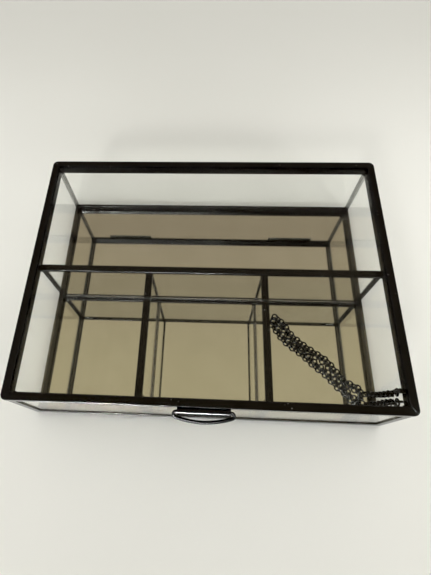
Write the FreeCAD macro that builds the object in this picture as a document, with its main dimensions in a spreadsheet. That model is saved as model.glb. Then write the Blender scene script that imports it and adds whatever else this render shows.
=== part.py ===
import FreeCAD, Part
import math
import os

import Sketcher
from FreeCAD import Placement, Rotation, Vector

# A rectangular clear-glass box with a slim dark metal frame, a mirror floor,
# framed glass dividers, a hinged framed-glass lid with a wire pull on its front
# rail, and a small-link stay chain in the front right compartment.
# Millimetres. X right, +Y to the back, +Z up. The origin is at the middle of
# the footprint, on the surface that the box stands on.

os.makedirs("parts", exist_ok=True)

doc = FreeCAD.newDocument("glass_box")
sheet = doc.addObject("Spreadsheet::Sheet", "sizes")

SIZES = [
    # outer size of box and lid
    ("box_width", 205.0),
    ("box_depth", 152.0),
    # rails, posts and panes
    ("rail_width", 4.0),
    ("pane_thick", 2.8),
    ("pane_inset", 0.6),
    ("groove_wide", 2.9),
    ("groove_inset", 0.55),
    ("base_tall", 5.2),
    ("base_groove_deep", 1.6),
    ("pane_foot_play", 0.05),
    ("rebate_tall", 1.45),
    ("rebate_deep", 1.4),
    ("post_groove_deep", 0.35),
    ("post_bite", 0.28),
    ("rim_bottom", 43.5),
    ("rim_tall", 3.8),
    ("rim_groove_deep", 2.4),
    ("rim_bite", 2.3),
    # lid
    ("lid_bottom", 47.6),
    ("lid_tall", 3.4),
    ("lid_pane_thick", 2.0),
    ("lid_groove_wide", 2.1),
    ("lid_groove_deep", 2.0),
    ("lid_bite", 1.9),
    ("lid_corner_round", 3.0),
    ("lid_overhang", 0.9),
    # mirror floor
    ("backing_thick", 0.2),
    ("mirror_thick", 1.25),
    ("mirror_play", 0.05),
    # dividers
    ("divider_wide", 4.0),
    ("divider_top", 43.8),
    ("divider_groove_inset", 0.55),
    ("channel_tall", 2.2),
    ("channel_groove_deep", 1.4),
    ("channel_bite", 1.3),
    ("foot_tall", 3.0),
    ("foot_groove_deep", 1.2),
    ("foot_bite", 1.1),
    ("end_thick", 2.2),
    ("end_groove_deep", 1.2),
    ("end_bite", 1.1),
    ("cross_y", 1.2),
    ("short_left_x", 33.8),
    ("short_right_x", 32.8),
    # hinges
    ("hinge_length", 35.0),
    ("hinge_spread", 67.0),
    ("hinge_axis_y", 77.35),
    ("hinge_axis_z", 47.0),
    ("knuckle_radius", 1.25),
    ("knuckle_length", 7.0),
    ("knuckle_play", 0.15),
    ("pin_radius", 0.55),
    ("pin_snug", 0.02),
    ("pin_play", 0.05),
    ("leaf_thick", 0.6),
    ("leaf_bottom", 41.0),
    ("leaf_shoulder", 45.4),
    ("lid_leaf_bottom", 48.45),
    ("lid_leaf_top", 49.9),
    ("web_deep", 1.1),
    # pull
    ("barrel_radius", 1.9),
    ("barrel_length", 26.4),
    ("barrel_z", 49.0),
    ("wire_radius", 0.9),
    ("wire_play", 0.05),
    ("bail_half_width", 14.8),
    ("bail_end_round", 1.3),
    ("bail_reach", 4.8),
    ("bail_tail", 8.5),
    ("bail_droop", 20.0),
    ("saddle_length", 22.0),
    ("saddle_tall", 1.4),
    ("saddle_deep", 1.2),
    # stay chain: eyes and strands
    ("eye_radius", 1.5),
    ("eye_wire", 0.45),
    ("eye_x", 96.05),
    ("eye_box_y", -69.5),
    ("eye_box_z", 44.7),
    ("eye_lid_y", -64.8),
    ("eye_lid_z", 46.0),
    ("eye_stem_radius", 0.5),
    ("eye_tab_wide", 2.4),
    ("eye_tab_tall", 0.58),
    ("strand_radius", 0.9),
    ("strand_trim", 1.4),
    ("strand_z", 3.45),
    ("foot_x", 95.1),
    ("foot_box_y", -65.0),
    ("foot_lid_y", -59.6),
    ("fold_lid_x", 45.9),
    ("fold_lid_y", -11.6),
    ("fold_box_x", 43.0),
    ("fold_box_y", -14.7),
]
for row, (alias, value) in enumerate(SIZES, start=1):
    sheet.set("A%d" % row, alias)
    sheet.set("B%d" % row, "%s" % value)
    sheet.setAlias("B%d" % row, alias)
doc.recompute()

NODES = []


def size(alias):
    return float(sheet.get(alias))


def bind(obj, **cells):
    for prop, text in cells.items():
        obj.setExpression(prop, text)


def put(obj, where, turn=None):
    """Places obj at three expressions, turned about Z by turn degrees."""
    if turn:
        obj.Placement = Placement(Vector(0, 0, 0), Rotation(Vector(0, 0, 1), turn))
    for axis, text in zip("xyz", where):
        obj.setExpression("Placement.Base.%s" % axis, text)


def node(obj, label):
    obj.Label = label
    NODES.append(obj)
    return obj


def new_body(name):
    return doc.addObject("PartDesign::Body", name)


def plane_of(body, role):
    for feature in body.Origin.OriginFeatures:
        if feature.Role == role:
            return feature
    raise RuntimeError("no plane " + role)


def outline(body, name, points, level=None):
    """A closed outline on the body's XY plane, each corner held by two dimensions."""
    sketch = body.newObject("Sketcher::SketchObject", name)
    sketch.AttachmentSupport = [(plane_of(body, "XY_Plane"), "")]
    sketch.MapMode = "FlatFace"
    if level:
        sketch.setExpression("AttachmentOffset.Base.z", level)
    count = len(points)
    ring = [
        Vector(20 + 10 * math.cos(2 * math.pi * i / count + 3.9), 20 + 10 * math.sin(2 * math.pi * i / count + 3.9), 0)
        for i in range(count)
    ]
    for i in range(count):
        sketch.addGeometry(Part.LineSegment(ring[i], ring[(i + 1) % count]), False)
    for i in range(count):
        sketch.addConstraint(Sketcher.Constraint("Coincident", i, 2, (i + 1) % count, 1))
    for i, (across, along) in enumerate(points):
        for kind, axis, text, start in (("DistanceX", -2, across, ring[i].x), ("DistanceY", -1, along, ring[i].y)):
            if text == "0":
                sketch.addConstraint(Sketcher.Constraint("PointOnObject", i, 1, axis))
            else:
                index = sketch.addConstraint(Sketcher.Constraint(kind, -1, 1, i, 1, start))
                cell = "%s%d" % ("across" if kind == "DistanceX" else "along", i)
                sketch.renameConstraint(index, cell)
                sketch.setExpression("Constraints." + cell, text)
    return sketch


def pad(body, sketch, tall):
    feature = body.newObject("PartDesign::Pad", "pad")
    feature.Profile = sketch
    feature.setExpression("Length", tall)
    sketch.Visibility = False
    return feature


CUTS = []


def pocket(body, sketch, deep, upward=False):
    """Cuts down from the sketch, or upward when asked."""
    feature = body.newObject("PartDesign::Pocket", "pocket")
    feature.Profile = sketch
    feature.setExpression("Length", deep)
    feature.Reversed = upward
    CUTS.append(feature)
    return feature


def rectangle(x0, y0, x1, y1):
    return [(x0, y0), (x1, y0), (x1, y1), (x0, y1)]


def block(name, long, wide, tall, where):
    box = doc.addObject("Part::Box", name)
    bind(box, Length=long, Width=wide, Height=tall)
    put(box, where)
    return box


def round_bar(name, radius, long, where, axis):
    """A round bar whose own +Z is turned onto axis."""
    bar = doc.addObject("Part::Cylinder", name)
    bind(bar, Radius=radius, Height=long)
    bar.Placement = Placement(Vector(0, 0, 0), Rotation(Vector(0, 0, 1), axis))
    put(bar, where)
    return bar


def joined(name, shapes):
    fuse = doc.addObject("Part::MultiFuse", name)
    fuse.Shapes = shapes
    return fuse


def less(name, base, tool):
    cut = doc.addObject("Part::Cut", name)
    cut.Base = base
    cut.Tool = tool
    return cut


HALF_W = "sizes.box_width/2"
HALF_D = "sizes.box_depth/2"
# side name: (length, corner x, corner y, turn), outer face on the rail's own y = 0
SIDES = {
    "front": ("sizes.box_width", "-" + HALF_W, "-" + HALF_D, 0),
    "back": ("sizes.box_width", HALF_W, HALF_D, 180),
    "left": ("sizes.box_depth", "-" + HALF_W, HALF_D, -90),
    "right": ("sizes.box_depth", HALF_W, "-" + HALF_D, 90),
}


def mitred(long, wide):
    return [("0", "0"), (long, "0"), ("%s-%s" % (long, wide), wide), (wide, wide)]


# ---------------------------------------------------------------- base rails
for side, (long, cx, cy, turn) in SIDES.items():
    rail = new_body("base_rail_" + side)
    pad(rail, outline(rail, "plan", mitred(long, "sizes.rail_width")), "sizes.base_tall")
    groove = outline(
        rail,
        "groove",
        rectangle(
            "sizes.rail_width-sizes.post_groove_deep",
            "sizes.groove_inset",
            long + "-sizes.rail_width+sizes.post_groove_deep",
            "sizes.groove_inset+sizes.groove_wide",
        ),
        "sizes.base_tall",
    )
    pocket(rail, groove, "sizes.base_groove_deep")
    rebate = outline(
        rail,
        "rebate",
        rectangle("0", "sizes.rail_width-sizes.rebate_deep", long, "sizes.rail_width+1"),
    )
    pocket(rail, rebate, "sizes.rebate_tall", True)
    put(rail, (cx, cy, "0"), turn)
    node(rail, "base_rail_" + side)

# ------------------------------------------------------------------ rim rails
for side, (long, cx, cy, turn) in SIDES.items():
    rail = new_body("rim_rail_" + side)
    pad(rail, outline(rail, "plan", mitred(long, "sizes.rail_width")), "sizes.rim_tall")
    groove = outline(
        rail,
        "groove",
        rectangle(
            "sizes.rail_width-sizes.post_groove_deep",
            "sizes.groove_inset",
            long + "-sizes.rail_width+sizes.post_groove_deep",
            "sizes.groove_inset+sizes.groove_wide",
        ),
    )
    pocket(rail, groove, "sizes.rim_groove_deep", True)
    put(rail, (cx, cy, "sizes.rim_bottom"), turn)
    node(rail, "rim_rail_" + side)

# --------------------------------------------------------------- corner posts
W = "sizes.rail_width"
G0 = "sizes.groove_inset"
G1 = "sizes.groove_inset+sizes.groove_wide"
GIN = "sizes.rail_width-sizes.post_groove_deep"
POST = [
    ("0", "0"), (W, "0"), (W, G0), (GIN, G0), (GIN, G1), (W, G1),
    (W, W), (G1, W), (G1, GIN), (G0, GIN), (G0, W), ("0", W),
]
for corner, cx, cy, turn in (
    ("front_left", "-" + HALF_W, "-" + HALF_D, 0),
    ("front_right", HALF_W, "-" + HALF_D, 90),
    ("back_right", HALF_W, HALF_D, 180),
    ("back_left", "-" + HALF_W, HALF_D, -90),
):
    post = new_body("corner_post_" + corner)
    pad(post, outline(post, "section", POST), "sizes.rim_bottom-sizes.base_tall")
    put(post, (cx, cy, "sizes.base_tall"), turn)
    node(post, "corner_post_" + corner)

# ----------------------------------------------------------------- wall panes
PANE_LOW = "sizes.base_tall-sizes.base_groove_deep+sizes.pane_foot_play"
PANE_TALL = "sizes.rim_bottom+sizes.rim_bite-(%s)" % PANE_LOW
for side, (long, cx, cy, turn) in SIDES.items():
    pane = doc.addObject("Part::Box", "wall_pane_" + side)
    reach = "(%s-2*sizes.rail_width+2*sizes.post_bite)" % long
    if side in ("front", "back"):
        y0 = "-%s+sizes.pane_inset" % HALF_D if side == "front" else "%s-sizes.pane_inset-sizes.pane_thick" % HALF_D
        bind(pane, Length=reach, Width="sizes.pane_thick", Height=PANE_TALL)
        put(pane, ("-%s/2" % reach, y0, PANE_LOW))
    else:
        x0 = "-%s+sizes.pane_inset" % HALF_W if side == "left" else "%s-sizes.pane_inset-sizes.pane_thick" % HALF_W
        bind(pane, Length="sizes.pane_thick", Width=reach, Height=PANE_TALL)
        put(pane, (x0, "-%s/2" % reach, PANE_LOW))
    node(pane, "wall_pane_" + side)

# --------------------------------------------------------------- mirror floor
FLOOR_W = "(sizes.box_width-2*(sizes.rail_width-sizes.rebate_deep+sizes.mirror_play))"
FLOOR_D = "(sizes.box_depth-2*(sizes.rail_width-sizes.rebate_deep+sizes.mirror_play))"
node(block("mirror_backing", FLOOR_W, FLOOR_D, "sizes.backing_thick", ("-%s/2" % FLOOR_W, "-%s/2" % FLOOR_D, "0")), "mirror_backing")
node(
    block("mirror_pane", FLOOR_W, FLOOR_D, "sizes.mirror_thick", ("-%s/2" % FLOOR_W, "-%s/2" % FLOOR_D, "sizes.backing_thick")),
    "mirror_pane",
)
FLOOR_TOP = "(sizes.backing_thick+sizes.mirror_thick)"


# ------------------------------------------------------------------- dividers
def divider(name, long, cx, cy, turn):
    """A framed pane standing on the mirror: its own x runs along it, y across."""
    wide = "sizes.divider_wide"
    g0 = "sizes.divider_groove_inset"
    g1 = "sizes.divider_groove_inset+sizes.groove_wide"
    from_end = "sizes.end_thick-sizes.end_groove_deep"
    top = new_body(name + "_top")
    pad(top, outline(top, "plan", rectangle("0", "0", long, wide)), "sizes.channel_tall")
    pocket(top, outline(top, "groove", rectangle(from_end, g0, "%s-(%s)" % (long, from_end), g1)), "sizes.channel_groove_deep", True)
    put(top, (cx, cy, "sizes.divider_top-sizes.channel_tall"), turn)
    node(top, name + "_top")
    foot = new_body(name + "_foot")
    pad(foot, outline(foot, "plan", rectangle("0", "0", long, wide)), "sizes.foot_tall")
    pocket(
        foot,
        outline(foot, "groove", rectangle(from_end, g0, "%s-(%s)" % (long, from_end), g1), "sizes.foot_tall"),
        "sizes.foot_groove_deep",
    )
    put(foot, (cx, cy, FLOOR_TOP), turn)
    node(foot, name + "_foot")
    tall = "sizes.divider_top-sizes.channel_tall-%s-sizes.foot_tall" % FLOOR_TOP
    low = "%s+sizes.foot_tall" % FLOOR_TOP
    for tag, first in (("end_a", True), ("end_b", False)):
        end = new_body(name + "_" + tag)
        t, s = "sizes.end_thick", "sizes.end_thick-sizes.end_groove_deep"
        if first:
            shape = [("0", "0"), (t, "0"), (t, g0), (s, g0), (s, g1), (t, g1), (t, wide), ("0", wide)]
        else:
            deep = "sizes.end_groove_deep"
            shape = [("0", "0"), (t, "0"), (t, wide), ("0", wide), ("0", g1), (deep, g1), (deep, g0), ("0", g0)]
        pad(end, outline(end, "section", shape), tall)
        if turn == 0:
            place = (cx, cy, low) if first else ("%s+%s-sizes.end_thick" % (cx, long), cy, low)
        else:
            place = (cx, cy, low) if first else (cx, "%s+%s-sizes.end_thick" % (cy, long), low)
        put(end, place, turn)
        node(end, name + "_" + tag)
    # the pane in its four channels
    inset = "(sizes.end_thick-sizes.end_bite)"
    side = "(%s/2-sizes.pane_thick/2)" % wide
    pane_low = "%s+sizes.foot_tall-sizes.foot_bite" % FLOOR_TOP
    pane_tall = "sizes.divider_top-sizes.channel_tall+sizes.channel_bite-(%s)" % pane_low
    pane = doc.addObject("Part::Box", name + "_pane")
    if turn == 0:
        bind(pane, Length="%s-2*%s" % (long, inset), Width="sizes.pane_thick", Height=pane_tall)
        put(pane, ("%s+%s" % (cx, inset), "%s+%s" % (cy, side), pane_low))
    else:
        bind(pane, Length="sizes.pane_thick", Width="%s-2*%s" % (long, inset), Height=pane_tall)
        put(pane, ("%s-%s-sizes.pane_thick" % (cx, side), "%s+%s" % (cy, inset), pane_low))
    node(pane, name + "_pane")


INNER_W = "(sizes.box_width-2*sizes.rail_width)"
divider("cross_divider", INNER_W, "-%s/2" % INNER_W, "sizes.cross_y-sizes.divider_wide/2", 0)
SHORT = "(%s-sizes.rail_width+sizes.cross_y-sizes.divider_wide/2)" % HALF_D
for tag, sign in (("left", "-"), ("right", "")):
    divider("short_divider_" + tag, SHORT, "%ssizes.short_%s_x+sizes.divider_wide/2" % (sign, tag), "-%s+sizes.rail_width" % HALF_D, 90)

# ------------------------------------------------------------------------ lid
# The rails are mitred, and the whole frame has small round corners. It is flush
# with the box at the back and sides and stands out a little at the front.
LID_FRONT = "-%s-sizes.lid_overhang" % HALF_D
LID_DEPTH = "(sizes.box_depth+sizes.lid_overhang)"
LID_SIDES = {
    "front": ("sizes.box_width", "-" + HALF_W, LID_FRONT, 0),
    "back": ("sizes.box_width", HALF_W, HALF_D, 180),
    "left": (LID_DEPTH, "-" + HALF_W, HALF_D, -90),
    "right": (LID_DEPTH, HALF_W, LID_FRONT, 90),
}
lid_plan = new_body("lid_plan")
plan_pad = pad(lid_plan, outline(lid_plan, "plan", rectangle("0", "0", "sizes.box_width", LID_DEPTH)), "sizes.lid_tall")
doc.recompute()
upright = []
for index, edge in enumerate(plan_pad.Shape.Edges, start=1):
    ends = [v.Point for v in edge.Vertexes]
    if abs(ends[0].x - ends[1].x) < 1e-6 and abs(ends[0].y - ends[1].y) < 1e-6:
        upright.append("Edge%d" % index)
corners = lid_plan.newObject("PartDesign::Fillet", "round_corners")
corners.Base = (plan_pad, upright)
corners.setExpression("Radius", "sizes.lid_corner_round")
put(lid_plan, ("-" + HALF_W, LID_FRONT, "sizes.lid_bottom"))
doc.recompute()

for side, (long, cx, cy, turn) in LID_SIDES.items():
    blank = new_body("lid_blank_" + side)
    pad(blank, outline(blank, "plan", mitred(long, "sizes.rail_width")), "sizes.lid_tall")
    slot = outline(
        blank,
        "slot",
        rectangle("0", "sizes.rail_width-sizes.lid_groove_deep", long, "sizes.rail_width+1"),
        "(sizes.lid_tall-sizes.lid_groove_wide)/2",
    )
    pocket(blank, slot, "sizes.lid_groove_wide", True)
    put(blank, (cx, cy, "sizes.lid_bottom"), turn)
    rail = doc.addObject("Part::Common", "lid_rail_" + side)
    rail.Base = blank
    rail.Tool = lid_plan
    node(rail, "lid_rail_" + side)

LID_W = "(sizes.box_width-2*sizes.rail_width+2*sizes.lid_bite)"
LID_D = "(%s-2*sizes.rail_width+2*sizes.lid_bite)" % LID_DEPTH
node(
    block(
        "lid_pane",
        LID_W,
        LID_D,
        "sizes.lid_pane_thick",
        ("-%s/2" % LID_W, LID_FRONT + "+sizes.rail_width-sizes.lid_bite", "sizes.lid_bottom+(sizes.lid_tall-sizes.lid_pane_thick)/2"),
    ),
    "lid_pane",
)

# --------------------------------------------------------------------- hinges
ALONG_X = Vector(1, 0, 0)
AXIS = ("sizes.hinge_axis_y", "sizes.hinge_axis_z")
for tag, sign in (("left", "-"), ("right", "")):
    hx = "%ssizes.hinge_spread" % sign
    start = "%s-sizes.hinge_length/2" % hx
    # leaf on the rim rail, with the two outer knuckles and the middle one
    pieces = [
        block(
            "leaf_plate", "sizes.hinge_length", "sizes.leaf_thick", "sizes.leaf_shoulder-sizes.leaf_bottom",
            (start, HALF_D, "sizes.leaf_bottom"),
        )
    ]
    spans = [
        (start, "sizes.knuckle_length-sizes.knuckle_play"),
        ("%s-sizes.knuckle_length/2+sizes.knuckle_play" % hx, "sizes.knuckle_length-2*sizes.knuckle_play"),
        ("%s+1.5*sizes.knuckle_length+sizes.knuckle_play" % hx, "sizes.knuckle_length-sizes.knuckle_play"),
    ]
    for x0, span in spans:
        pieces.append(round_bar("knuckle", "sizes.knuckle_radius", span, (x0,) + AXIS, ALONG_X))
        pieces.append(
            block("web", span, "sizes.web_deep", "sizes.hinge_axis_z-0.7-sizes.leaf_shoulder+0.2", (x0, HALF_D, "sizes.leaf_shoulder-0.2"))
        )
    bore = round_bar("bore", "sizes.pin_radius+sizes.pin_snug", "sizes.hinge_length+2", ("%s-1" % start,) + AXIS, ALONG_X)
    node(less("hinge_leaf_box_" + tag, joined("leaf", pieces), bore), "hinge_leaf_box_" + tag)
    # leaf on the lid rail, with the two knuckles between
    pieces = [
        block(
            "leaf_plate", "sizes.hinge_length", "sizes.leaf_thick", "sizes.lid_leaf_top-sizes.lid_leaf_bottom",
            (start, HALF_D, "sizes.lid_leaf_bottom"),
        )
    ]
    for x0 in ("%s-1.5*sizes.knuckle_length+sizes.knuckle_play" % hx, "%s+0.5*sizes.knuckle_length+sizes.knuckle_play" % hx):
        span = "sizes.knuckle_length-2*sizes.knuckle_play"
        pieces.append(round_bar("knuckle", "sizes.knuckle_radius", span, (x0,) + AXIS, ALONG_X))
        pieces.append(
            block("web", span, "sizes.web_deep", "sizes.lid_leaf_bottom+0.2-sizes.hinge_axis_z-0.7", (x0, HALF_D, "sizes.hinge_axis_z+0.7"))
        )
    bore = round_bar("bore", "sizes.pin_radius+sizes.pin_play", "sizes.hinge_length+2", ("%s-1" % start,) + AXIS, ALONG_X)
    node(less("hinge_leaf_lid_" + tag, joined("leaf", pieces), bore), "hinge_leaf_lid_" + tag)
    node(round_bar("hinge_pin_" + tag, "sizes.pin_radius", "sizes.hinge_length", (start,) + AXIS, ALONG_X), "hinge_pin_" + tag)

# ----------------------------------------------------------------------- pull
BARREL_Y = LID_FRONT + "-sizes.barrel_radius"
barrel = joined(
    "barrel_blank",
    [
        round_bar("barrel_round", "sizes.barrel_radius", "sizes.barrel_length", ("-sizes.barrel_length/2", BARREL_Y, "sizes.barrel_z"), ALONG_X),
        block(
            "saddle", "sizes.saddle_length", "sizes.saddle_deep", "sizes.saddle_tall",
            ("-sizes.saddle_length/2", LID_FRONT + "-sizes.saddle_deep", "sizes.barrel_z-sizes.saddle_tall/2"),
        ),
    ],
)
bore = round_bar(
    "barrel_bore", "sizes.wire_radius+sizes.wire_play", "sizes.barrel_length+2", ("-sizes.barrel_length/2-1", BARREL_Y, "sizes.barrel_z"), ALONG_X
)
node(less("pull_barrel", barrel, bore), "pull_barrel")

# The bail is one round wire: two tails in the barrel, a tight bend at each end
# and a shallow bow between them, tangent to the bends.
half, bend, reach, tail = size("bail_half_width"), size("bail_end_round"), size("bail_reach"), size("bail_tail")
bend_x = half - bend
bow = (bend_x ** 2 + (reach - bend) ** 2 - bend ** 2) / (2 * (reach - 2 * bend))
bow_y = reach - bow
out = Vector(bend_x, bend - bow_y, 0).normalize()


def flat(x, forward):
    return Vector(x, -forward, 0)


touch = Vector(0, bow_y, 0) + out * bow
mid_dir = Vector(math.cos(math.radians(-15)), math.sin(math.radians(-15)), 0)
mid = Vector(bend_x, bend, 0) + mid_dir * bend
edges = [
    Part.LineSegment(flat(-tail, 0), flat(-bend_x, 0)).toShape(),
    Part.Arc(flat(-bend_x, 0), flat(-mid.x, mid.y), flat(-touch.x, touch.y)).toShape(),
    Part.Arc(flat(-touch.x, touch.y), flat(0, reach), flat(touch.x, touch.y)).toShape(),
    Part.Arc(flat(touch.x, touch.y), flat(mid.x, mid.y), flat(bend_x, 0)).toShape(),
    Part.LineSegment(flat(bend_x, 0), flat(tail, 0)).toShape(),
]
bail_line = doc.addObject("Part::Feature", "bail_line")
bail_line.Shape = Part.Wire(edges)
wire_end = doc.addObject("Part::Circle", "wire_end")
bind(wire_end, Radius="sizes.wire_radius")
wire_end.Placement = Placement(flat(-tail, 0), Rotation(Vector(0, 0, 1), Vector(-1, 0, 0)))
bail = doc.addObject("Part::Sweep", "pull_bail")
bail.Sections = [wire_end]
bail.Spine = (bail_line, ["Edge%d" % (i + 1) for i in range(len(edges))])
bail.Solid = True
bail.Frenet = False
bail.Placement = Placement(Vector(0, 0, 0), Rotation(Vector(1, 0, 0), size("bail_droop")))
put(bail, ("0", BARREL_Y, "sizes.barrel_z"))
node(bail, "pull_bail")
print("bail bow radius %.2f" % bow)

# ----------------------------------------------------------------- stay chain
def ring(name, where):
    torus = doc.addObject("Part::Torus", name)
    bind(torus, Radius1="sizes.eye_radius", Radius2="sizes.eye_wire")
    torus.Placement = Placement(Vector(0, 0, 0), Rotation(Vector(1, 0, 0), 90))
    put(torus, where)
    return torus


INNER_X = "%s-sizes.rail_width" % HALF_W
box_eye = joined(
    "stay_eye_box",
    [
        ring("eye_ring", ("sizes.eye_x", "sizes.eye_box_y", "sizes.eye_box_z")),
        round_bar(
            "eye_stem", "sizes.eye_stem_radius", "%s-sizes.eye_x-sizes.eye_radius" % INNER_X,
            ("sizes.eye_x+sizes.eye_radius", "sizes.eye_box_y", "sizes.eye_box_z"), ALONG_X,
        ),
    ],
)
node(box_eye, "stay_eye_box")
lid_eye = joined(
    "stay_eye_lid",
    [
        ring("eye_ring", ("sizes.eye_x", "sizes.eye_lid_y", "sizes.eye_lid_z")),
        block(
            "eye_tab", "%s-sizes.eye_x+0.6" % INNER_X, "sizes.eye_tab_wide", "sizes.eye_tab_tall",
            ("sizes.eye_x-0.6", "sizes.eye_lid_y-sizes.eye_tab_wide/2", "sizes.lid_bottom+0.02"),
        ),
    ],
)
node(lid_eye, "stay_eye_lid")

# Four plain runs stand for the chain, one node each: down from each eye, out
# along the mirror to the fold, and back.
drop_box_top = Vector(size("eye_x"), size("eye_box_y"), size("eye_box_z") - size("eye_radius"))
drop_lid_top = Vector(size("eye_x"), size("eye_lid_y"), size("eye_lid_z") - size("eye_radius"))
foot_box = Vector(size("foot_x"), size("foot_box_y"), size("strand_z"))
foot_lid = Vector(size("foot_x"), size("foot_lid_y"), size("strand_z"))
fold_lid = Vector(size("fold_lid_x"), size("fold_lid_y"), size("strand_z"))
fold_box = Vector(size("fold_box_x"), size("fold_box_y"), size("strand_z"))
chain = 0.0
for label, first, last in (
    ("stay_drop_box", drop_box_top, foot_box),
    ("stay_drop_lid", drop_lid_top, foot_lid),
    ("stay_run_lid", foot_lid, fold_lid),
    ("stay_run_box", fold_box, foot_box),
):
    run = last - first
    long = run.Length
    chain += long
    way = Vector(run).normalize()
    bar = doc.addObject("Part::Cylinder", label)
    bind(bar, Radius="sizes.strand_radius")
    bar.Height = long - 2 * size("strand_trim")
    bar.Placement = Placement(first + way * size("strand_trim"), Rotation(Vector(0, 0, 1), way))
    node(bar, label)
    print("%s %.2f from (%.3f %.3f %.3f) to (%.3f %.3f %.3f)" % (label, long, *first, *last))
print("chain length %.1f" % (chain + 4.4))

# ---------------------------------------------------------------- check, write
doc.recompute()
bad = []
for obj in doc.Objects:
    if "Invalid" in obj.State or "Error" in obj.State:
        bad.append("%s %s" % (obj.Name, obj.State))
for cut in CUTS:
    before = cut.BaseFeature.Shape.Volume
    if cut.Shape.Volume > before - 0.5:
        bad.append("%s cuts nothing" % cut.Name)
for obj in NODES:
    shape = obj.Shape
    if shape.isNull() or not shape.isValid() or shape.Volume <= 0 or len(shape.Solids) != 1:
        bad.append("%s is not one sound solid" % obj.Label)
if bad:
    raise RuntimeError("; ".join(bad))
for obj in NODES:
    obj.Shape.exportStep("parts/%s.step" % obj.Label)
print("%d nodes" % len(NODES))
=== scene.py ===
import math

import bmesh
import bpy
from mathutils import Matrix, Vector, noise


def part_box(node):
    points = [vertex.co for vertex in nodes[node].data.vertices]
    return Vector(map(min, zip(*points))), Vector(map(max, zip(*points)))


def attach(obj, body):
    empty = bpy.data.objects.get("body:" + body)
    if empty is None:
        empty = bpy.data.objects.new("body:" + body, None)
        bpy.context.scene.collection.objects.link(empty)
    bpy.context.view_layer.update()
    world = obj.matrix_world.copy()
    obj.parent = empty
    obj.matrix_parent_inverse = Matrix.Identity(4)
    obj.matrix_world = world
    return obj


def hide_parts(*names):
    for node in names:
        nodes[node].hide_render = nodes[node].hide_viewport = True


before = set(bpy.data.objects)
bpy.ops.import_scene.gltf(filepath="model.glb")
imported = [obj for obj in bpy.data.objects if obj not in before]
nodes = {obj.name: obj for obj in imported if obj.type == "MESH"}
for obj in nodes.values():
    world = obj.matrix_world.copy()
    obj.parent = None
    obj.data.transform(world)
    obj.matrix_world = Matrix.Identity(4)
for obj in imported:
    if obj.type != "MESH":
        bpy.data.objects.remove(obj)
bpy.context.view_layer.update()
scene = bpy.context.scene
MM = 0.001


# ---------------------------------------------------------------- camera

PIXELS_W, PIXELS_H = 431, 575
FOCAL_PX = 408.0
CENTRE_PX = (185.91, 282.62)
right = Vector((0.9980109143, 0.0445204982, -0.0446333968))
down = Vector((0.0215177445, -0.9060518280, -0.4226192987))
ahead = Vector((-0.0592553925, 0.4208182626, -0.9052075940))
eye = Vector((1.7627, -105.5440, 256.4171)) * MM

cam_data = bpy.data.cameras.new("camera")
cam_data.sensor_fit = "AUTO"
cam_data.sensor_width = 36.0
cam_data.lens = FOCAL_PX * 36.0 / PIXELS_H
cam_data.shift_x = (PIXELS_W / 2 - CENTRE_PX[0]) / PIXELS_H
cam_data.shift_y = (CENTRE_PX[1] - PIXELS_H / 2) / PIXELS_H
cam_data.clip_start = 0.01
cam_data.clip_end = 50.0
cam = bpy.data.objects.new("camera", cam_data)
scene.collection.objects.link(cam)
turn = Matrix((right, -down, -ahead)).transposed()
cam.matrix_world = Matrix.Translation(eye) @ turn.to_4x4()
scene.camera = cam


# ---------------------------------------------------------------- helpers for materials

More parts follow.
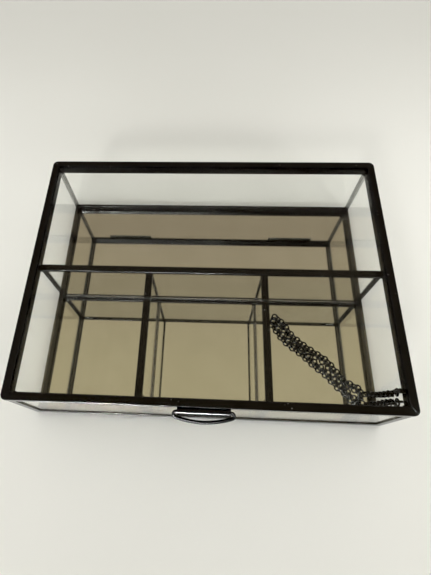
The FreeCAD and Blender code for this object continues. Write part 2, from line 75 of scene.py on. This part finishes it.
class Tree:
    """A short way to write node trees."""

    def __init__(self, name):
        self.mat = bpy.data.materials.new(name)
        self.mat.use_nodes = True
        self.nt = self.mat.node_tree
        self.nt.nodes.clear()
        self.out = self.new("ShaderNodeOutputMaterial")
        self.coord = self.new("ShaderNodeTexCoord").outputs["Object"]

    def new(self, kind, **settings):
        n = self.nt.nodes.new(kind)
        for k, v in settings.items():
            setattr(n, k, v)
        return n

    def link(self, a, b):
        self.nt.links.new(a, b)

    def scaled(self, factors, offset=(0, 0, 0)):
        m = self.new("ShaderNodeMapping")
        m.inputs["Scale"].default_value = factors
        m.inputs["Location"].default_value = offset
        self.link(self.coord, m.inputs["Vector"])
        return m.outputs["Vector"]

    def noise(self, scale, detail=3.0, rough=0.55, vector=None, distortion=0.0):
        n = self.new("ShaderNodeTexNoise")
        n.inputs["Scale"].default_value = scale
        n.inputs["Detail"].default_value = detail
        n.inputs["Roughness"].default_value = rough
        n.inputs["Distortion"].default_value = distortion
        self.link(vector or self.coord, n.inputs["Vector"])
        return n.outputs["Fac"]

    def cells(self, scale, vector=None, feature="F1"):
        n = self.new("ShaderNodeTexVoronoi", feature=feature)
        n.inputs["Scale"].default_value = scale
        self.link(vector or self.coord, n.inputs["Vector"])
        return n.outputs["Distance"]

    def span(self, value, a, b, c, d):
        """Maps a..b to c..d, held at both ends."""
        n = self.new("ShaderNodeMapRange", clamp=True)
        for key, v in (("From Min", a), ("From Max", b), ("To Min", c), ("To Max", d)):
            n.inputs[key].default_value = v
        self.link(value, n.inputs["Value"])
        return n.outputs["Result"]

    def math(self, op, a, b=None):
        n = self.new("ShaderNodeMath", operation=op)
        for socket, v in zip(n.inputs, (a, b)):
            if v is None:
                continue
            if isinstance(v, (int, float)):
                socket.default_value = v
            else:
                self.link(v, socket)
        return n.outputs[0]

    def mix(self, fac, a, b, kind="MIX"):
        n = self.new("ShaderNodeMix", data_type="RGBA", blend_type=kind)
        if isinstance(fac, (int, float)):
            n.inputs[0].default_value = fac
        else:
            self.link(fac, n.inputs[0])
        for socket, v in ((n.inputs[6], a), (n.inputs[7], b)):
            if isinstance(v, tuple):
                socket.default_value = (*v, 1.0)
            else:
                self.link(v, socket)
        return n.outputs[2]

    def bump(self, height, strength, distance, normal=None):
        n = self.new("ShaderNodeBump")
        n.inputs["Strength"].default_value = strength
        n.inputs["Distance"].default_value = distance
        self.link(height, n.inputs["Height"])
        if normal is not None:
            self.link(normal, n.inputs["Normal"])
        return n.outputs["Normal"]

    def principled(self, **values):
        p = self.new("ShaderNodeBsdfPrincipled")
        for key, v in values.items():
            socket = p.inputs[key.replace("_", " ")]
            if isinstance(v, (int, float)):
                socket.default_value = v
            elif isinstance(v, tuple):
                socket.default_value = (*v, 1.0)
            else:
                self.link(v, socket)
        return p

    def done(self, shader):
        self.link(shader, self.out.inputs["Surface"])
        return self.mat


def patina(name, dark, brown, worn, gloss=(0.30, 0.50), level=0.35, specks=1.0, wear=1.0, edge=0.0005, round_edge=0.0, metal=0.0):
    """Blackened metal: uneven dark skin, rubbed edges, a few pale specks of dust and solder."""
    t = Tree(name)
    cloud = t.noise(70.0, 5.0, 0.6)
    grain = t.noise(1900.0, 3.0, 0.6)
    drag = t.noise(260.0, 4.0, 0.65, distortion=0.6)
    skin = t.mix(t.span(cloud, 0.38, 0.68, 0.0, 1.0), dark, brown)
    skin = t.mix(t.span(grain, 0.55, 0.8, 0.0, 0.35), skin, tuple(c * 2.2 for c in brown))
    if wear:  # rubbed corners
        soft = t.new("ShaderNodeBevel", samples=4)
        soft.inputs["Radius"].default_value = edge
        true = t.new("ShaderNodeNewGeometry").outputs["Normal"]
        d = t.new("ShaderNodeVectorMath", operation="DOT_PRODUCT")
        t.link(soft.outputs["Normal"], d.inputs[0])
        t.link(true, d.inputs[1])
        corner = t.span(d.outputs["Value"], 0.97, 0.80, 0.0, 1.0)
        rubbed = t.math("MULTIPLY", corner, t.span(drag, 0.50, 0.72, 0.0, 0.6 * wear))
        skin = t.mix(rubbed, skin, worn)
    # pale specks, sparse
    spot = t.span(t.cells(420.0), 0.10, 0.16, 1.0, 0.0)
    sparse = t.span(t.noise(150.0, 2.0, 0.5), 0.60, 0.66, 0.0, 0.85 * specks)
    mark = t.math("MULTIPLY", spot, sparse)
    skin = t.mix(mark, skin, (0.30, 0.29, 0.26))
    rough = t.span(drag, 0.3, 0.75, gloss[0], gloss[1])
    rough = t.math("ADD", rough, t.math("MULTIPLY", mark, 0.3))
    hump = None
    if round_edge:  # the bars are drawn with full, rounded edges
        arc = t.new("ShaderNodeBevel", samples=8)
        arc.inputs["Radius"].default_value = round_edge
        hump = arc.outputs["Normal"]
    hump = t.bump(drag, 0.03, 0.0002, hump)
    fine = t.bump(grain, 0.05, 0.00005, hump)
    p = t.principled(Base_Color=skin, Roughness=rough, Specular_IOR_Level=level, Metallic=metal, Normal=fine)
    return t.done(p.outputs[0])


def clear_glass(name, tint, passed, smear=1.0, seed=0.0, ior=1.5):
    """Sheet glass with faint wipe marks; rays from the lamps and from matt faces go straight through."""
    t = Tree(name)
    wipe = t.noise(34.0, 4.0, 0.6, t.scaled((1.0, 2.6, 1.0), (seed, seed * 0.7, 0)), 0.8)
    film = t.noise(420.0, 2.0, 0.5)
    haze = t.math("MULTIPLY", t.span(wipe, 0.52, 0.78, 0.0, smear), t.span(film, 0.3, 0.7, 0.5, 1.0))
    tone = t.mix(haze, tint, tuple(c * 0.97 for c in tint))
    p = t.principled(Base_Color=tone, Roughness=0.0, IOR=ior, Transmission_Weight=1.0, Specular_IOR_Level=0.5)
    through = t.new("ShaderNodeBsdfTransparent")
    through.inputs["Color"].default_value = (*passed, 1.0)
    path = t.new("ShaderNodeLightPath")
    soft = t.new("ShaderNodeMixShader")
    t.link(path.outputs["Is Diffuse Ray"], soft.inputs[0])
    t.link(p.outputs[0], soft.inputs[1])
    t.link(through.outputs[0], soft.inputs[2])
    both = t.new("ShaderNodeMixShader")
    t.link(path.outputs["Is Shadow Ray"], both.inputs[0])
    t.link(soft.outputs[0], both.inputs[1])
    t.link(through.outputs[0], both.inputs[2])
    return t.done(both.outputs[0])


def silver(name):
    """Silvering behind the mirror's glass, very slightly uneven."""
    t = Tree(name)
    cloud = t.noise(45.0, 3.0, 0.5)
    tone = t.mix(t.span(cloud, 0.35, 0.7, 0.0, 1.0), (0.84, 0.84, 0.80), (0.88, 0.88, 0.85))
    p = t.principled(Base_Color=tone, Metallic=1.0, Roughness=0.0)
    return t.done(p.outputs[0])


def felt(name):
    """Thin dark felt."""
    t = Tree(name)
    fibre = t.noise(2600.0, 4.0, 0.7, t.scaled((1.0, 0.35, 1.0)))
    cloud = t.noise(120.0, 3.0)
    tone = t.mix(t.span(fibre, 0.35, 0.7, 0.0, 1.0), (0.020, 0.019, 0.018), (0.060, 0.057, 0.052))
    tone = t.mix(t.span(cloud, 0.4, 0.7, 0.0, 0.4), tone, (0.035, 0.033, 0.03))
    p = t.principled(Base_Color=tone, Roughness=0.95, Specular_IOR_Level=0.1, Sheen_Weight=0.3,
                     Normal=t.bump(fibre, 0.5, 0.0002))
    return t.done(p.outputs[0])


FRAME = patina("frame_patina", (0.0034, 0.0031, 0.0027), (0.0068, 0.0059, 0.0048), (0.045, 0.042, 0.037), (0.07, 0.13), 0.24, 0.45, 0.5, 0.0003)
# Corner posts: the frame's blackened metal again, with its colours a little darker as painted shade and a weaker
# sheen.
POST_SHADED = patina("post_patina_painted_shade", (0.0030, 0.0028, 0.0025), (0.0058, 0.0051, 0.0042), (0.03, 0.028, 0.025), (0.07, 0.12), 0.09, 0.4, 0.4, 0.0003)
HINGE = patina("hinge_patina", (0.10, 0.10, 0.088), (0.15, 0.146, 0.126), (0.22, 0.215, 0.19), (0.30, 0.48), 0.30, 0.5, 0.8, 0.0002)
PULL = patina("pull_patina", (0.0042, 0.0040, 0.0036), (0.0085, 0.0078, 0.0068), (0.05, 0.047, 0.042), (0.10, 0.16), 0.15, 0.0, 0.0)
BAIL = patina("bail_patina", (0.0042, 0.0040, 0.0036), (0.0085, 0.0078, 0.0068), (0.05, 0.047, 0.042), (0.12, 0.20), 0.04, 0.0, 0.0)
CHAIN = patina("chain_oxide", (0.0026, 0.0025, 0.0023), (0.0056, 0.0051, 0.0044), (0.05, 0.047, 0.042), (0.26, 0.36), 0.03, 0.0, 0.0)
GLASS = clear_glass("clear_glass", (0.985, 0.990, 0.982), (0.965, 0.970, 0.962), 0.8)
LID_GLASS = clear_glass("lid_glass", (0.980, 0.986, 0.978), (0.965, 0.970, 0.962), 0.6, 3.1, 1.20)
MIRROR_GLASS = clear_glass("mirror_glass", (0.95, 0.96, 0.94), (0.96, 0.965, 0.955), 0.4, 7.7)
SILVER = silver("silvering")
FELT = felt("felt")


# ---------------------------------------------------------------- the frame's own pieces

def paint(obj, mat):
    obj.data.materials.clear()
    obj.data.materials.append(mat)


def soften(obj, width, segments=6, angle=35):
    """Rounds a piece's edges so that they catch the light; faces that share an edge are joined first."""
    w = obj.modifiers.new("join_faces", "WELD")
    w.merge_threshold = 0.000002
    b = obj.modifiers.new("soft_edge", "BEVEL")
    b.width = width
    b.segments = segments
    b.limit_method = "ANGLE"
    b.angle_limit = math.radians(angle)
    b.harden_normals = False
    b.use_clamp_overlap = True
    b.miter_outer = "MITER_ARC"


for name, obj in nodes.items():
    if name == "lid_pane":
        paint(obj, LID_GLASS)
    elif name.startswith("wall_pane") or name.endswith("divider_pane") or name.endswith("_pane"):
        paint(obj, GLASS)
    elif name == "mirror_backing":
        paint(obj, FELT)
    elif name.startswith("hinge"):
        paint(obj, HINGE)
    elif name.startswith("pull"):
        paint(obj, BAIL if name.endswith("bail") else PULL)
    elif name.startswith("stay"):
        paint(obj, CHAIN)
    else:
        paint(obj, POST_SHADED if name.startswith("corner_post") else FRAME)
        soften(obj, 0.00026)


# ---------------------------------------------------------------- new pieces

def piece(name, mesh, body):
    o = bpy.data.objects.new(name, mesh)
    scene.collection.objects.link(o)
    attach(o, body)
    return o


# the mirror: a glass sheet with its lower face silvered
lo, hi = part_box("mirror_pane")
bm = bmesh.new()
bmesh.ops.create_cube(bm, size=1.0)
for v in bm.verts:
    v.co = Vector((
        lo.x if v.co.x < 0 else hi.x,
        lo.y if v.co.y < 0 else hi.y,
        lo.z + 0.00004 if v.co.z < 0 else hi.z))
rim = [e for e in bm.edges if all(v.co.z > hi.z - 1e-6 for v in e.verts)]
bmesh.ops.bevel(bm, geom=rim, offset=0.0003, segments=2, affect="EDGES", profile=0.5)
bm.normal_update()
for f in bm.faces:
    f.material_index = 1 if f.normal.z < -0.9 else 0
mesh = bpy.data.meshes.new("mirror_sheet")
bm.to_mesh(mesh)
bm.free()
mesh.materials.append(MIRROR_GLASS)
mesh.materials.append(SILVER)
mirror = piece("mirror_sheet", mesh, "box")
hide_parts("mirror_pane")


# the stay chain: round links, each turned a quarter from the last
RING, WIRE = 1.74, 0.48
PITCH = 2.52
REST = 3.70
lid_side = [
    (96.05, -64.80, 44.50), (95.90, -63.60, 32.0), (95.65, -61.90, 20.0), (95.30, -59.80, 10.0),
    (94.70, -59.00, 4.0), (90.80, -54.90, REST), (87.00, -53.10, REST), (83.60, -51.20, REST),
    (81.00, -47.90, REST), (78.10, -43.90, REST), (75.50, -40.10, REST), (71.70, -36.90, REST),
    (67.20, -34.10, REST), (59.10, -28.00, REST), (54.50, -23.60, REST), (51.00, -18.70, REST),
    (47.60, -14.20, REST),
]
fold = [(44.70, -11.50, 3.7), (42.20, -12.60, 3.8), (43.10, -15.60, 3.6)]
box_side = [
    (46.30, -20.20, REST), (49.50, -25.00, REST), (53.50, -28.90, REST), (58.10, -32.40, REST),
    (62.60, -36.30, REST), (67.00, -40.50, REST), (70.70, -43.80, REST), (74.40, -46.90, REST),
    (78.00, -51.00, REST), (81.50, -54.90, REST), (84.90, -57.90, REST), (87.00, -60.20, REST),
    (89.20, -62.40, REST), (92.20, -64.20, REST), (94.30, -65.10, 4.9), (95.30, -65.90, 10.0),
    (95.70, -66.80, 20.0), (95.90, -67.80, 32.0), (96.05, -69.50, 43.2),
]


def smooth_line(points, steps=24):
    p = [Vector(q) for q in points]
    p = [p[0] * 2 - p[1]] + p + [p[-1] * 2 - p[-2]]
    line = []
    for i in range(1, len(p) - 2):
        a, b, c, d = p[i - 1 : i + 3]
        for k in range(steps):
            u = k / steps
            line.append(0.5 * (2 * b + (c - a) * u + (2 * a - 5 * b + 4 * c - d) * u * u + (3 * b - a - 3 * c + d) * u ** 3))
    line.append(p[-2])
    return line


line = smooth_line(lid_side + fold + box_side)
run = [0.0]
for a, b in zip(line, line[1:]):
    run.append(run[-1] + (b - a).length)
total = run[-1]


def at(s):
    s = min(max(s, 0.0), total)
    lo_i, hi_i = 0, len(run) - 1
    while hi_i - lo_i > 1:
        m = (lo_i + hi_i) // 2
        if run[m] <= s:
            lo_i = m
        else:
            hi_i = m
    u = (s - run[lo_i]) / max(run[hi_i] - run[lo_i], 1e-9)
    return line[lo_i].lerp(line[hi_i], u)


def nearest(point):
    q = Vector(point)
    return run[min(range(len(line)), key=lambda i: (line[i] - q).length)]


cut_lid = nearest((95.1, -59.6, 3.45))
cut_fold = nearest((43.2, -12.0, 3.7))
cut_box = nearest((95.1, -65.0, 3.45))

FIRST = 0.81  # the end links hang in the eyes
count = 2 * int(round((total - 2 * FIRST) / PITCH / 2))
step = (total - 2 * FIRST) / count
runs = {"lid": [], "out": [], "back": [], "box": []}
for i in range(count + 1):
    s = FIRST + i * step
    key = "lid" if s < cut_lid else "out" if s < cut_fold else "back" if s < cut_box else "box"
    runs[key].append((i, s))


def ring_mesh(bm, centre, along, across, ring=RING, wire=WIRE, around=20, about=8):
    """A round link in the plane of along and across."""
    up = along.cross(across).normalized()
    rows = []
    for i in range(around):
        a = 2 * math.pi * i / around
        out = along * math.cos(a) + across * math.sin(a)
        row = []
        for k in range(about):
            b = 2 * math.pi * k / about
            row.append(bm.verts.new((centre + out * (ring + wire * math.cos(b)) + up * wire * math.sin(b)) * MM))
        rows.append(row)
    for i in range(around):
        for k in range(about):
            f = bm.faces.new((rows[i][k], rows[(i + 1) % around][k], rows[(i + 1) % around][(k + 1) % about], rows[i][(k + 1) % about]))
            f.smooth = True


def links(name, body, node, items):
    bm = bmesh.new()
    for i, s in items:
        c = at(s)
        t = (at(s + 0.9) - at(s - 0.9)).normalized()
        side = t.cross(Vector((0, 0, 1)))
        if abs(t.z) > 0.75:  # on the drops the links keep square to the wall
            side = Vector((0, 1, 0)) - t * t.y
        side.normalize()
        other = t.cross(side)
        wobble = noise.noise(Vector((i * 0.73, 4.1, 0.0))) * 0.20
        hang = math.pi / 4 * min(min(s, total - s) / 7.0, 1.0)  # away from the eyes the links rest slantwise
        roll = (0.08 if abs(t.z) < 0.75 else hang) + wobble + (math.pi / 2 if i % 2 else 0.0)
        across = side * math.cos(roll) + other * math.sin(roll)
        ring_mesh(bm, c, t, across)
    bmesh.ops.recalc_face_normals(bm, faces=bm.faces)
    mesh = bpy.data.meshes.new(name)
    bm.to_mesh(mesh)
    bm.free()
    mesh.materials.append(CHAIN)
    o = piece(name, mesh, body)
    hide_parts(node)
    return o


links("stay_links_drop_lid", "chain_lid", "stay_drop_lid", runs["lid"])
links("stay_links_run_lid", "chain_out", "stay_run_lid", runs["out"])
links("stay_links_run_box", "chain_back", "stay_run_box", runs["back"])
links("stay_links_drop_box", "chain_box", "stay_drop_box", runs["box"])


# small beads of solder where bars meet
def bead(bm, centre, size, seed):
    made = bmesh.ops.create_icosphere(bm, subdivisions=3, radius=1.0)["verts"]
    for v in made:
        n = v.co.normalized()
        swell = 1.0 + 0.22 * noise.noise(n * 1.7 + Vector((seed * 3.7, seed * 1.3, 0)))
        v.co = (Vector(centre) + Vector((n.x * size[0], n.y * size[1], n.z * size[2])) * swell) * MM


def beads(name, body, spots):
    bm = bmesh.new()
    for k, (centre, size) in enumerate(spots):
        bead(bm, centre, size, k + 1)
    for f in bm.faces:
        f.smooth = True
    mesh = bpy.data.meshes.new(name)
    bm.to_mesh(mesh)
    bm.free()
    mesh.materials.append(FRAME)
    return piece(name, mesh, body)


spots = []
for sx, dx in ((-1, -33.8), (1, 32.8)):
    for sy in (-1, 1):
        spots.append(((sx * 98.4, sy * 71.9, 43.6), (0.9, 0.9, 0.7)))
        spots.append(((sx * 98.4, sy * 71.9, 5.2), (0.9, 0.9, 0.8)))
    spots.append(((sx * 98.3, -0.6, 43.2), (0.7, 1.0, 0.6)))
    spots.append(((sx * 98.1, -0.9, 4.4), (0.9, 0.9, 0.7)))
    spots.append(((dx - 1.8, -1.0, 43.0), (0.7, 0.6, 0.7)))
    spots.append(((dx + 1.8, -1.0, 43.1), (0.6, 0.6, 0.6)))
    spots.append(((dx - 1.8, -1.1, 4.3), (0.8, 0.7, 0.6)))
    spots.append(((dx + 1.8, -1.1, 4.3), (0.7, 0.7, 0.6)))
    spots.append(((dx, -71.8, 43.1), (1.3, 0.6, 0.6)))
    spots.append(((dx, -71.7, 4.4), (1.4, 0.7, 0.6)))
beads("solder_beads_box", "box", spots)


# ---------------------------------------------------------------- floor, light

def floor_material():
    t = Tree("floor_paint")
    cloud = t.noise(3.0, 4.0, 0.5)
    tone = t.mix(t.span(cloud, 0.3, 0.7, 0.0, 1.0), (0.785, 0.783, 0.735), (0.810, 0.808, 0.765))
    p = t.principled(Base_Color=tone, Roughness=0.7, Specular_IOR_Level=0.0,
                     Normal=t.bump(t.noise(900.0, 2.0), 0.03, 0.0002))
    return t.done(p.outputs[0])


bm = bmesh.new()
bmesh.ops.create_grid(bm, x_segments=8, y_segments=8, size=4.0)
mesh = bpy.data.meshes.new("floor")
bm.to_mesh(mesh)
bm.free()
mesh.materials.append(floor_material())
floor = bpy.data.objects.new("floor", mesh)
scene.collection.objects.link(floor)

world = bpy.data.worlds.new("studio")
scene.world = world
world.use_nodes = True
wt = world.node_tree
wt.nodes.clear()
w_out = wt.nodes.new("ShaderNodeOutputWorld")
w_back = wt.nodes.new("ShaderNodeBackground")
w_co = wt.nodes.new("ShaderNodeTexCoord")
w_sep = wt.nodes.new("ShaderNodeSeparateXYZ")
wt.links.new(w_co.outputs["Generated"], w_sep.inputs[0])


def w_span(socket, a, b):
    n = wt.nodes.new("ShaderNodeMapRange")
    n.clamp = True
    n.interpolation_type = "SMOOTHSTEP"
    n.inputs["From Min"].default_value = a
    n.inputs["From Max"].default_value = b
    wt.links.new(socket, n.inputs["Value"])
    return n.outputs["Result"]


def w_mix(fac, a, b):
    n = wt.nodes.new("ShaderNodeMix")
    n.data_type = "RGBA"
    wt.links.new(fac, n.inputs[0])
    for socket, v in ((n.inputs[6], a), (n.inputs[7], b)):
        if isinstance(v, tuple):
            socket.default_value = (*v, 1.0)
        else:
            wt.links.new(v, socket)
    return n.outputs[2]


overhead = w_mix(w_span(w_sep.outputs["Y"], 0.18, 0.55), (0.450, 0.385, 0.243), (0.340, 0.280, 0.195))
w_abs = wt.nodes.new("ShaderNodeMath")
w_abs.operation = "ABSOLUTE"
wt.links.new(w_sep.outputs["X"], w_abs.inputs[0])
PALE = (1.09, 1.105, 1.11)
overhead = w_mix(w_span(w_sep.outputs["Y"], 0.10, -0.12), overhead, (0.075, 0.068, 0.055))
walls = w_mix(w_span(w_sep.outputs["Z"], 0.62, 0.36), overhead, PALE)
walls = w_mix(w_span(w_abs.outputs[0], 0.40, 0.60), walls, PALE)
wt.links.new(walls, w_back.inputs["Color"])
w_back.inputs["Strength"].default_value = 1.0
wt.links.new(w_back.outputs[0], w_out.inputs["Surface"])


def soft_light(name, towards, distance, size, power, colour):
    d = Vector(towards).normalized()
    data = bpy.data.lights.new(name, "AREA")
    data.shape = "DISK"
    data.size = size
    data.energy = power
    data.color = colour
    data.cycles.use_multiple_importance_sampling = False
    o = bpy.data.objects.new(name, data)
    o.location = d * distance
    o.rotation_euler = d.to_track_quat("Z", "Y").to_euler()
    o.visible_transmission = False
    scene.collection.objects.link(o)
    return o


soft_light("key_left", (-26, -68, 49), 1.6, 0.30, 6.5, (1.0, 0.99, 0.96))
soft_light("key_right", (58, -68, 49), 1.6, 0.36, 5.5, (1.0, 0.99, 0.96))
glint = soft_light("glint_left", (-33, -108, 112), 1.6, 0.85, 330.0, (0.98, 1.0, 1.0))
glint.data.shape = "RECTANGLE"
glint.data.size_y = 0.30
glint.visible_diffuse = False
for side, sx in (("left", -1), ("right", 1)):  # evens out the floor beside the box
    data = bpy.data.lights.new("fill_" + side, "AREA")
    data.shape = "DISK"
    data.size = 0.22
    data.energy = 0.075 if sx < 0 else 0.095
    data.spread = math.radians(85)
    fill = bpy.data.objects.new("fill_" + side, data)
    fill.location = (sx * 0.20, 0.04, 0.32)
    fill.visible_transmission = False
    fill.visible_glossy = False
    scene.collection.objects.link(fill)

scene.view_settings.view_transform = "Standard"
scene.view_settings.use_curve_mapping = True
curve = scene.view_settings.curve_mapping
curve.black_level = (0.006, 0.006, 0.005)
curve.update()
scene.cycles.max_bounces = 32
scene.cycles.transmission_bounces = 32
scene.cycles.glossy_bounces = 16
scene.cycles.transparent_max_bounces = 64
scene.cycles.caustics_refractive = False
scene.cycles.caustics_reflective = False
